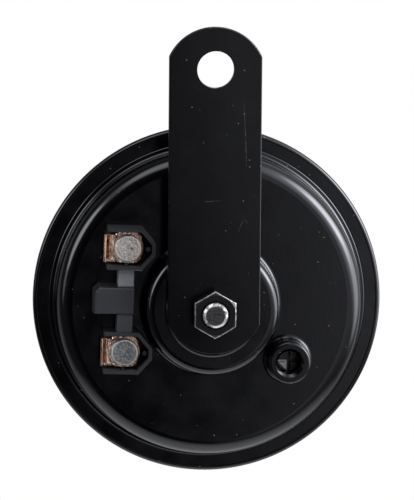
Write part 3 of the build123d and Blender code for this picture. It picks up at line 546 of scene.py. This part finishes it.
def stud_steel():
    """Black, with its thread and the end's chamfer worn to bright metal in patches, the worn ring
    painted wider towards the right and top as a highlight.
    """
    look = Look("stud_steel", Specular_Tint=COOL)
    radius = look.distance_from_axis(0, DISC_Z)
    base = look.blend(look.patches(1.2, 4, 0.35), (0.004, 0.004, 0.005), (0.03, 0.03, 0.032))
    look.colour(base)
    look.rough(look.patches(2, 3, to=(0.3, 0.45)))
    # painted highlight: the bright ring is made wider towards the right and top
    side = look.math("ADD", look.x, look.math("SUBTRACT", look.z, DISC_Z))
    inner = look.span(side, -5 * MM, 5 * MM, 0.35 * MM, 0.0)
    ring = look.span(look.math("SUBTRACT", radius, inner), 2.75 * MM, 3.0 * MM)
    end = look.span(look.y, STUD_END_Y + 1.1 * MM, STUD_END_Y + 0.4 * MM)
    worn = look.patches(0.75, 5, 0.42, 0.56, (0.12, 1), seed=6.0)
    look.wear(look.times(ring, end, worn), (0.72, 0.72, 0.72), 0.3)
    look.bump(look.noise(2.0, 4), 0.05)
    turns = look.math("SINE", look.times(look.y, 2 * math.pi / (THREAD_PITCH * MM)))
    outside = look.span(radius, STUD_R - 0.2 * MM, STUD_R)
    short_of_core = look.span(radius, STUD_R + 0.4 * MM, STUD_R + 0.2 * MM)
    look.bump(look.times(turns, look.times(outside, short_of_core)), 0.2)
    return look


def tuning_screw():
    """Painted very dark as the shade down in its well, with one corner of its cross recess painted
    bright as a glint.
    """
    look = Look("screw_steel", metallic=0.6)
    # painted shade: the screw is made very dark, as down in its well
    look.colour(look.blend(look.patches(0.9, 4), (0.01, 0.01, 0.012), (0.035, 0.035, 0.04)))
    look.rough(look.patches(1.5, 4, to=(0.3, 0.45)))
    # painted glint: one corner of the cross recess is made bright
    dx, dz = look.math("SUBTRACT", BUSH_X, look.x), look.math("SUBTRACT", BUSH_Z, look.z)
    edge = (0.1 * MM, 0.3 * MM)
    corner = look.times(look.span(dx, *edge), look.span(dz, *edge))
    near = look.span(look.math("ADD", dx, dz), 3.9 * MM, 3.5 * MM)
    look.wear(look.times(corner, near), (0.5, 0.5, 0.52), 0.4)
    look.bump(look.noise(1.6, 3), 0.04)
    return look


# Zones of the moulding, by height in mm from its middle: edges, from none to full
LOWER_BAR = ((-4.4, -4.8), (-10.3, -10.0))
UPPER_BAR = ((4.5, 4.8), (10.3, 10.0))
SHROUDS = (9.9, 10.1)


def moulding():
    """Charcoal plastic with a faint grain: the upper bar painted much lighter as lit from above,
    the lower bar lighter, and the shrouds and the walls that face up painted darker as shade."""
    look = Look("block_plastic", Specular_Tint=COOL)
    base = look.blend(look.patches(0.25, 3), (0.011, 0.012, 0.0145), (0.017, 0.018, 0.0215))
    height = look.math("SUBTRACT", look.z, DISC_Z + BLOCK_Z)

    def from_edge(value, edge):
        return look.span(value, edge[0] * MM, edge[1] * MM)

    lower = look.times(*(from_edge(height, edge) for edge in LOWER_BAR))
    base = look.blend(lower, base, (0.031, 0.032, 0.036))
    upper = look.times(*(from_edge(height, edge) for edge in UPPER_BAR))
    # painted light: the upper bar between the shrouds is made much lighter, as lit from above
    painted_light_bar = look.times(upper, look.patches(0.9, 4, 0.2, 0.7, (0.75, 1), seed=8.0))
    base = look.blend(painted_light_bar, base, (0.155, 0.162, 0.18))
    # painted shade: the shrouds are made darker than the bar and pad
    shroud = from_edge(look.math("ABSOLUTE", height), SHROUDS)
    base = look.blend(shroud, base, (0.0085, 0.0095, 0.0115))
    # painted shade: walls that face up and towards -Y are made darkest, picked by their normal
    normal = look.add("ShaderNodeNewGeometry").outputs["Normal"]
    _, facing_y, facing_z = look.add("ShaderNodeSeparateXYZ", {"Vector": normal}).outputs
    wall = look.times(look.span(facing_z, 0.4, 0.8), look.span(facing_y, -0.6, -0.3))
    base = look.blend(wall, base, (0.008, 0.0085, 0.01))
    look.colour(look.blend(look.specks(1.5, 0.15, 0.02), base, (0.2, 0.2, 0.21)))
    look.rough(look.patches(0.6, 3, to=(0.42, 0.55)))
    look.bump(look.noise(2.2, 4), 0.06)
    return look


def copper():
    """Bright pinkish copper with random dark tarnish, painted dark brown as shade towards the
    shroud's point and along the outer end's side face."""
    look = Look("copper", metallic=1.0)
    base = look.blend(look.patches(0.35, 4), (0.86, 0.58, 0.46), (0.98, 0.8, 0.7))
    stain = look.patches(0.55, 5, 0.58, 0.72, seed=3.0)
    middle = UPPER_HEAD[0]
    # painted shade: darker towards the shroud's point and along the outer end's side face; the
    # noise above is tarnish
    inward = look.span(look.x, middle + 0.5 * MM, middle + 3.5 * MM)
    outward = look.span(look.x, middle - 7.6 * MM, middle - 8.1 * MM)
    brown = look.most(look.times(stain, 0.6), look.times(look.most(inward, outward), 0.8))
    look.colour(look.blend(brown, base, (0.2, 0.08, 0.045)))
    look.rough(look.patches(1.2, 4, to=(0.16, 0.3)))
    look.bump(look.noise(0.45, 3, stretch=(2.2, 1, 0.6)), 0.22)
    return look


def zinc():
    """Grainy plated heads with a painted highlight round each rim: the upper one is paler and
    warmer, with a rust spot."""
    look = Look("zinc_head", metallic=0.75)
    upper = look.math("GREATER_THAN", look.z, DISC_Z)
    grain = look.patches(2.1, 3, 0.35, 0.65)
    pale = look.blend(grain, (0.3, 0.275, 0.265), (0.66, 0.61, 0.59))
    dull = look.blend(grain, (0.075, 0.08, 0.088), (0.26, 0.27, 0.295))
    head = look.blend(upper, dull, pale)
    # painted highlight: a bright ring round the rim of each head
    highlight_rims = []
    for head_x, head_z in (UPPER_HEAD, LOWER_HEAD):
        radius = look.distance_from_axis(head_x, head_z)
        inside = look.span(radius, HEAD_R - 0.7 * MM, HEAD_R - 0.35 * MM)
        highlight_rims.append(look.times(inside, look.span(radius, HEAD_R + MM, HEAD_R)))
    head = look.blend(look.times(look.most(*highlight_rims), 0.6), head, (0.8, 0.78, 0.77))
    look.colour(look.blend(look.spot(RUST_X, RUST_Z, 0.6 * MM), head, (0.16, 0.07, 0.055)))
    look.rough(look.patches(2.5, 4, to=(0.38, 0.56), seed=4.0))
    look.bump(grain, 0.06)
    return look


def plain_metal(name, dark, light, roughness):
    look = Look(name, metallic=1.0)
    look.colour(look.blend(look.patches(0.5, 4), dark, light))
    look.rough(look.patches(1.5, 4, to=(roughness - 0.06, roughness + 0.08)))
    look.bump(look.noise(2.2, 3), 0.02)
    return look


def plain_dull(name, dark, light, roughness, per_mm=0.6):
    look = Look(name)
    look.colour(look.blend(look.patches(per_mm, 4), dark, light))
    look.rough(look.patches(1.2, 3, to=(roughness - 0.06, roughness + 0.06)))
    look.bump(look.noise(3, 3), 0.02)
    return look


WIRE_PITCH = 0.6


def winding():
    """Enamelled wire: close turns along the coil's axis."""
    look = Look("winding", metallic=0.8)
    turns = look.math("SINE", look.times(look.y, 2 * math.pi / (WIRE_PITCH * MM)))
    look.colour(look.blend(look.patches(0.8, 3), (0.35, 0.1, 0.03), (0.6, 0.22, 0.08)))
    look.rough(look.patches(1, 3, to=(0.28, 0.4)))
    look.bump(turns, 0.15)
    return look


def tone_paint():
    dark, light = (0.01, 0.01, 0.011), (0.018, 0.018, 0.02)
    return black_paint("tone_paint", dark, light, 0.38, 0.01, 2.0)


def dress():
    """Gives each CAD node, and the turned pieces, the finish of its slot."""
    looks = {
        "black_paint": housing_paint(),
        "strap_paint": strap_paint(),
        "nut_black": nut_paint(),
        "stud_steel": stud_steel(),
        "block_plastic": moulding(),
        "copper": copper(),
        "zinc_head": zinc(),
        "screw_steel": tuning_screw(),
        "tone_paint": tone_paint(),
        "winding": winding(),
    }
    for slot, dark, light, roughness in (
        ("tag_brass", (0.6, 0.42, 0.18), (0.72, 0.55, 0.28), 0.32),
        ("spring_steel", (0.42, 0.43, 0.45), (0.56, 0.57, 0.59), 0.28),
        ("bare_steel", (0.4, 0.4, 0.39), (0.55, 0.54, 0.5), 0.36),
        ("tungsten", (0.4, 0.4, 0.42), (0.5, 0.5, 0.52), 0.3),
    ):
        looks[slot] = plain_metal(slot, dark, light, roughness)
    for slot, dark, light, *finish in (
        ("phenolic", (0.1, 0.04, 0.015), (0.17, 0.08, 0.03), 0.45),
        ("gasket_paper", (0.3, 0.24, 0.15), (0.42, 0.35, 0.24), 0.85, 1.5),
        ("bobbin_plastic", (0.5, 0.47, 0.4), (0.6, 0.57, 0.5), 0.5),
    ):
        looks[slot] = plain_dull(slot, dark, light, *finish)
    for piece in (add_shoulder(), add_fold()):
        piece.data.materials.append(looks["black_paint"].material)
    slot_of = {part["node"]: part["material_slot"] for part in frame["record"]["subparts"]}
    for name, node in NODES.items():
        node.data.materials.clear()
        node.data.materials.append(looks[slot_of[name]].material)


add_camera()
add_world()
add_floor()
add_light()
dress()

bpy.context.scene.view_settings.view_transform = "Standard"
